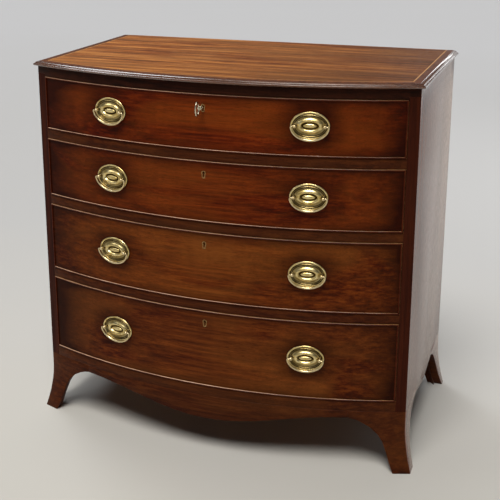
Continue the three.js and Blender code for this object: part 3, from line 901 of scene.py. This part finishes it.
# Dried polish: inside the rim it starts below one level and is full so far under it. At a
# post it has a value that falls by one over a reach
RIM_SHARE = 0.89
CLEAN_LEVEL = 3.5 * MM
FULL_DEPTH = 2.2 * MM
AT_POST = 1.3
POST_REACH = 7 * MM

# The collars of a post and its shank: radius, low end, high end and rounding, in mm
POST_COLLARS = [
    (4.3, 0.5, 2.4, 0.7),
    (2.4, 2.4, 9, 0),
    (3.0, 6.6, 7.6, 0.3),
]


def from_post(place):
    return math.hypot(abs(place.x) - POST_SPACING / 2, place.y)


def plate_choice(face):
    """The grooves of the plate, which a duster can't reach, are dull, and so is its low edge as
    painted shade against the wood. The balls are bright, partly as a painted glint.
    """
    if from_post(face.center) < ROUND_BALL and face.center.z > UNDER_BALL:
        return 2
    return int(face.center.z < GROOVE_AND_EDGE_LEVEL)


def patina_at(place):
    """How much dried polish darkens the plate: in its hollows and round its posts."""
    half_width, half_height = PLATE_HALF_WIDTH * MM, PLATE_HALF_HEIGHT * MM
    on_rim = math.hypot(place.x / half_width, place.y / half_height) > RIM_SHARE
    in_hollow = 0 if on_rim else (CLEAN_LEVEL - place.z) / FULL_DEPTH
    round_post = AT_POST - from_post(place) / POST_REACH if place.z < UNDER_BALL else 0
    return max(0, min(1, max(in_hollow, round_post)))


def turned(radius, low, high, rounding, sides, x=0):
    """A turned disc or shank that stands along Z. All but its place x is in mm."""
    bpy.ops.mesh.primitive_cylinder_add(
        vertices=sides,
        radius=radius * MM,
        depth=(high - low) * MM,
        location=(x, 0, (low + high) / 2 * MM),
    )
    made = bpy.context.object
    settle(made)
    if rounding:
        ease(made, rounding * MM, 3)
    return made


def make_plate():
    width, height, level = PLATE_RINGS[0]
    bpy.ops.mesh.primitive_cylinder_add(
        vertices=PLATE_CORNERS, radius=1, depth=level * MM, location=(0, 0, level * MM / 2)
    )
    plate = bpy.context.object
    plate.scale = (width * MM, height * MM, 1)
    settle(plate)
    for next_width, next_height, next_level in PLATE_RINGS[1:]:
        pick(
            plate,
            "FACE",
            lambda face: face.normal.z > LEVEL and len(face.verts) == PLATE_CORNERS,
        )
        bpy.ops.mesh.extrude_region_move()
        bpy.ops.transform.resize(
            value=(next_width / width, next_height / height, 1), center_override=(0, 0, 0)
        )
        bpy.ops.transform.translate(value=(0, 0, (next_level - level) * MM))
        bpy.ops.object.mode_set(mode="OBJECT")
        width, height, level = next_width, next_height, next_level
    parts = [plate]
    for hand in (-1, 1):
        place = hand * POST_SPACING / 2
        parts += [turned(*sizes, sides=24, x=place) for sizes in POST_COLLARS]
        bpy.ops.mesh.primitive_uv_sphere_add(
            segments=24, ring_count=14, radius=BALL_RADIUS, location=(place, 0, HINGE_PROUD)
        )
        ball = bpy.context.object
        settle(ball)
        parts.append(ball)
    plate = join(parts)
    face_out(plate)
    smooth(plate, 50)
    patina = plate.data.attributes.new("patina", "FLOAT", "POINT")
    for vert, share in zip(plate.data.vertices, patina.data):
        share.value = patina_at(vert.co)
    paint(plate, stamped_brass, brass_dirt_and_edge_shade, handled_brass_with_painted_glint, choose=plate_choice)
    return plate


# The bail is one rod, in mm: a disc at the end of a pin is extruded along the bend and
# round half an oval, turning and swelling as it goes. It leans in on the plate's rim
BAIL_HALF = 40.6
BAIL_DROP = 31.6
BAIL_BEND = 3.0
BAIL_BEND_TURNS = (0, 22, 45, 68)
BAIL_PIN = 30.2
BAIL_STRAIGHT_END = 2.5
BAIL_END_RADIUS = 1.5
BAIL_SWELL = 1.1
BAIL_STEPS = 30
BAIL_LEAN = 10.6


def bail_route():
    start = math.asin(BAIL_BEND / BAIL_DROP)
    corner = [
        (
            BAIL_HALF - BAIL_BEND + BAIL_BEND * math.sin(angle),
            -BAIL_BEND + BAIL_BEND * math.cos(angle),
        )
        for angle in map(math.radians, BAIL_BEND_TURNS)
    ]
    right = [(BAIL_PIN, 0.0), (BAIL_HALF - BAIL_BEND - BAIL_STRAIGHT_END, 0.0), *corner]
    arc = []
    for i in range(BAIL_STEPS + 1):
        angle = start + (math.pi - 2 * start) * i / BAIL_STEPS
        arc.append((BAIL_HALF * math.cos(angle), -BAIL_DROP * math.sin(angle)))
    return [*right, *arc, *[(-x, y) for x, y in reversed(right)]]


def make_bail():
    route = bail_route()
    headings = []
    for i in range(len(route)):
        x0, y0 = route[max(i - 1, 0)]
        x1, y1 = route[min(i + 1, len(route) - 1)]
        headings.append(math.degrees(math.atan2(y1 - y0, x1 - x0)))
    radii = [
        BAIL_END_RADIUS + BAIL_SWELL * min(1, abs(y) / BAIL_DROP) ** 1.3 for x, y in route
    ]
    bpy.ops.mesh.primitive_circle_add(
        vertices=14,
        radius=radii[0] * MM,
        fill_type="NGON",
        location=(route[0][0] * MM, 0, HINGE_PROUD),
        rotation=(0, math.pi / 2, 0),
    )
    bail = bpy.context.object
    settle(bail)
    pick(bail, "FACE", lambda face: True)
    for i in range(1, len(route)):
        x, y = (value * MM for value in route[i])
        bpy.ops.mesh.extrude_region_move()
        bpy.ops.transform.translate(
            value=(x - route[i - 1][0] * MM, y - route[i - 1][1] * MM, 0)
        )
        bend = (headings[i] - headings[i - 1] + 180) % 360 - 180
        turn(bend, "Z", (x, y, HINGE_PROUD))
        grow = radii[i] / radii[i - 1]
        bpy.ops.transform.resize(value=(grow, grow, grow), center_override=(x, y, HINGE_PROUD))
    bpy.ops.object.mode_set(mode="OBJECT")
    face_out(bail)
    whole(bail)
    turn(BAIL_LEAN, "X", (0, 0, HINGE_PROUD))
    bpy.ops.object.mode_set(mode="OBJECT")
    smooth(bail, 60)
    paint(bail, handled_brass_with_painted_glint)
    return bail


plate = make_plate()
bail = make_bail()
stand_up = Matrix.Rotation(math.radians(90), 4, "X")
for number, (low, high) in enumerate(DRAWER_LEVELS, 1):
    for side, hand in (("left", -1), ("right", 1)):
        x = hand * HANDLE_SPACING / 2
        facing = math.asin(x / BOW_RADIUS)
        level = (low + high) / 2 + HANDLE_RISE
        place = Matrix.Translation((x, bow_y(x), level)) @ Matrix.Rotation(facing, 4, "Z")
        place = place @ Matrix.Translation((0, -SEAT_GAP, 0)) @ stand_up
        twin = copied(plate, f"drawer_{number}_oval_plate_{side}", place)
        placed(
            twin, twin.name, f"drawer_{number}", [f"drawer_{number}_handle_plate_{side}"]
        )
        twin = copied(bail, f"drawer_{number}_bail_{side}_rod", place)
        placed(
            twin,
            twin.name,
            f"drawer_{number}_bail_{side}",
            [f"drawer_{number}_handle_bail_{side}"],
        )
for pattern in (plate, bail):
    bpy.data.objects.remove(pattern)


# Thread escutcheons, in mm: a line of brass let in round each keyhole, a keyhole-shaped
# plate drawn in to make the opening

KEYHOLE_RADIUS = 2.7
KEYHOLE_SLOT = 3.0
KEYHOLE_FOOT = 10.0
THREAD_CLEAR = 1.0
THREAD = 1.3
THREAD_THICKNESS = 0.9
THREAD_SUNK = 0.6


def make_escutcheon():
    edge = THREAD_CLEAR + THREAD
    bpy.ops.mesh.primitive_circle_add(
        vertices=32, radius=(KEYHOLE_RADIUS + edge) * MM, fill_type="NGON", location=(0, 0, 0)
    )
    thread = bpy.context.object
    reach = (KEYHOLE_SLOT / 2 + edge) * MM
    pick(thread, "VERT", lambda vert: vert.co.y < 0 and abs(vert.co.x) < reach)
    bpy.ops.transform.translate(value=(0, -(KEYHOLE_FOOT - KEYHOLE_RADIUS) * MM, 0))
    pick(thread, "FACE", lambda face: True)
    bpy.ops.mesh.inset(thickness=THREAD * MM, use_even_offset=True)
    bpy.ops.mesh.delete(type="FACE")
    bpy.ops.object.mode_set(mode="OBJECT")
    whole(thread)
    rise = (0, 0, THREAD_THICKNESS * MM)
    bpy.ops.mesh.extrude_region_move(TRANSFORM_OT_translate={"value": rise})
    bpy.ops.object.mode_set(mode="OBJECT")
    face_out(thread)
    smooth(thread, 40)
    paint(thread, tarnished_brass)
    return thread


thread = make_escutcheon()
for number, (low, high) in enumerate(DRAWER_LEVELS, 1):
    sunk = BOW_FRONT + THREAD_SUNK * MM
    place = Matrix.Translation((0, sunk, high - KEY_DROP)) @ stand_up
    twin = copied(thread, f"drawer_{number}_thread_escutcheon", place)
    placed(twin, twin.name, f"drawer_{number}")
bpy.data.objects.remove(thread)


# Key, in mm, lying along Z with its ring outwards while it is made: a shank with turned
# collars, an oval ring on edge and the bit below the shank. A part is radius, low end, high
# end and rounding

KEY_PARTS = [
    (2.2, -20.1, 23.5, 0.5),
    (4.9, 17.2, 21.9, 1.6),
    (3.5, 14.6, 15.8, 0.5),
    (3.3, 8.5, 9.8, 0.5),
]
KEY_RING_PLACE = 33.5
KEY_RING_HALF_WIDTH = 9.7
KEY_RING_HALF_HEIGHT = 14.2
KEY_RING_RADIUS = 1.75
KEY_BIT_SIZE = (2.2, 8.6, 4.5)
KEY_BIT_PLACE = -16
KEY_BIT_ROUNDING = 0.3


def make_key():
    parts = [turned(*sizes, sides=28) for sizes in KEY_PARTS]
    ring_place = (0, 0, KEY_RING_PLACE * MM)
    bpy.ops.mesh.primitive_torus_add(
        major_radius=KEY_RING_HALF_WIDTH * MM,
        minor_radius=KEY_RING_RADIUS * MM,
        major_segments=48,
        minor_segments=14,
        rotation=(0, math.pi / 2, 0),
        location=ring_place,
    )
    ring = bpy.context.object
    settle(ring)
    whole(ring)
    taller = KEY_RING_HALF_HEIGHT / KEY_RING_HALF_WIDTH
    bpy.ops.transform.resize(value=(1, taller, 1), center_override=ring_place)
    bpy.ops.object.mode_set(mode="OBJECT")
    parts.append(ring)
    width, drop, length = (value * MM for value in KEY_BIT_SIZE)
    bpy.ops.mesh.primitive_cube_add(
        size=1, location=(0, -drop / 2, KEY_BIT_PLACE * MM), scale=(width, drop, length)
    )
    bit = bpy.context.object
    settle(bit)
    ease(bit, KEY_BIT_ROUNDING * MM, 2)
    parts.append(bit)
    key = join(parts)
    face_out(key)
    smooth(key, 40)
    paint(key, key_steel)
    return key


key = make_key()
key_level = DRAWER_LEVELS[0][1] - KEY_DROP
key.matrix_world = Matrix.Translation((0, BOW_FRONT, key_level)) @ stand_up
settle(key)
placed(key, "lock_key", "key", ["key"])


# Floor, light and camera

FLOOR_RADIUS = 60
BACKDROP_GREY = "#c4c3c1"


def ground_material():
    """Pale studio paper: matt and faintly mottled, a little warmer towards the front."""
    material, tree, shader, place = new_material("pale_floor")
    mottle = node(tree, "TexNoise", {"Vector": place}, Scale=1.5, Detail=3.0).outputs["Fac"]
    depth = node(tree, "SeparateXYZ", {"Vector": place}).outputs["Y"]
    unevenly = node(tree, "Math", {0: depth, 1: mottle}, operation="ADD").outputs["Value"]
    share = node(tree, "MapRange", {"Value": unevenly}, From_Max=7.0).outputs["Result"]
    tree.links.new(
        ramp(tree, share, [(0.0, "#c1bfb9"), (1.0, "#c1c2c5"), (0.25, "#bbbbbb")]),
        shader.inputs["Base Color"],
    )
    shader.inputs["Roughness"].default_value = 0.8
    shader.inputs["IOR"].default_value = 1.2
    return material


bpy.ops.mesh.primitive_circle_add(
    vertices=96, radius=FLOOR_RADIUS, fill_type="NGON", location=(0, 0, 0)
)
ground = bpy.context.object
ground.name = "studio_floor"
paint(ground, ground_material())


CHEST_MIDDLE = Vector((0, 0, 0.5))


def lamp(name, kind, place, power, **settings):
    """A lamp that shines from a place towards the middle of the chest."""
    data = bpy.data.lights.new(name, kind)
    data.energy = power
    for key, value in settings.items():
        setattr(data, key, value)
    made = bpy.data.objects.new(name, data)
    bpy.context.scene.collection.objects.link(made)
    made.location = place
    made.visible_camera = False
    made.rotation_euler = (CHEST_MIDDLE - Vector(place)).to_track_quat("-Z", "Y").to_euler()


wide, soft = math.radians(28), math.radians(20)
warm, cool = (1, 0.97, 0.92), (0.94, 0.97, 1)
lamp("overhead_softbox", "SUN", (0.1, -1.2, 3.0), 2.75, angle=wide, color=warm)
lamp("rear_softbox", "SUN", (-0.4, 0.5, 3.2), 0.45, angle=soft)
lamp("left_softbox", "AREA", (-1.5, -0.7, 2.1), 5, shape="RECTANGLE", size=0.6, size_y=0.5)
lamp("back_window", "SUN", (-1.6, 1.35, 2.9), 0.6, angle=soft, color=cool)
lamp("rear_strip", "AREA", (0.6, 3.6, 1.95), 5, shape="RECTANGLE", size=1.8, size_y=0.25)
lamp("right_rear_light", "AREA", (1.9, 2.4, 1.2), 8, shape="RECTANGLE", size=1.6, size_y=1.4)

# The world is a dim ceiling over the chest. What is polished shows a pale backdrop up to
# a little above the horizon
world = bpy.data.worlds.new("studio")
bpy.context.scene.world = world
world.use_nodes = True
tree = world.node_tree
tree.nodes.clear()
looking = node(tree, "TexCoord").outputs["Object"]
height = node(tree, "SeparateXYZ", {"Vector": looking}).outputs["Z"]
rise = node(tree, "MapRange", {"Value": height}, From_Min=0.12, From_Max=0.3).outputs["Result"]
backdrop = ramp(tree, rise, [(0.0, BACKDROP_GREY), (1.0, "#4a4b4f")])
rays = node(tree, "LightPath").outputs
shown = node(
    tree, "Math", {0: rays["Is Camera Ray"], 1: rays["Is Glossy Ray"]}, operation="MAXIMUM"
).outputs["Value"]
tone = node(
    tree, "MixRGB", {"Fac": shown, "Color2": backdrop}, Color1=linear("#323337")
).outputs["Color"]
background = node(tree, "Background", {"Color": tone}, Strength=1.0)
node(tree, "OutputWorld", {"Surface": background.outputs["Background"]})

# The camera stands to the right of the chest and looks down on its top. Its angles are in
# radians, and its focal length and the middle of its view are in pixels of the image
CAMERA_PLACE = (0.7921, -2.2707, 1.2897)
CAMERA_YAW = 0.37014
CAMERA_PITCH = 0.27319
CAMERA_ROLL = -0.00746
IMAGE_PIXELS = 500
FOCAL_PIXELS = 1021.2
VIEW_MIDDLE = (208, 175)
data = bpy.data.cameras.new("camera")
data.sensor_width = 36
data.lens = data.sensor_width * FOCAL_PIXELS / IMAGE_PIXELS
data.shift_x = 0.5 - VIEW_MIDDLE[0] / IMAGE_PIXELS
data.shift_y = VIEW_MIDDLE[1] / IMAGE_PIXELS - 0.5
data.clip_end = 2.5 * FLOOR_RADIUS
camera = bpy.data.objects.new("camera", data)
bpy.context.scene.collection.objects.link(camera)
ahead = Vector(
    (
        -math.sin(CAMERA_YAW) * math.cos(CAMERA_PITCH),
        math.cos(CAMERA_YAW) * math.cos(CAMERA_PITCH),
        -math.sin(CAMERA_PITCH),
    )
)
right = Vector((math.cos(CAMERA_YAW), math.sin(CAMERA_YAW), 0))
up = right.cross(ahead)
tilted_right = math.cos(CAMERA_ROLL) * right + math.sin(CAMERA_ROLL) * up
tilted_up = -math.sin(CAMERA_ROLL) * right + math.cos(CAMERA_ROLL) * up
camera.matrix_world = Matrix.Translation(CAMERA_PLACE) @ Matrix(
    (tilted_right, tilted_up, -ahead)
).transposed().to_4x4()
bpy.context.scene.camera = camera

bpy.context.scene.view_settings.view_transform = "Standard"
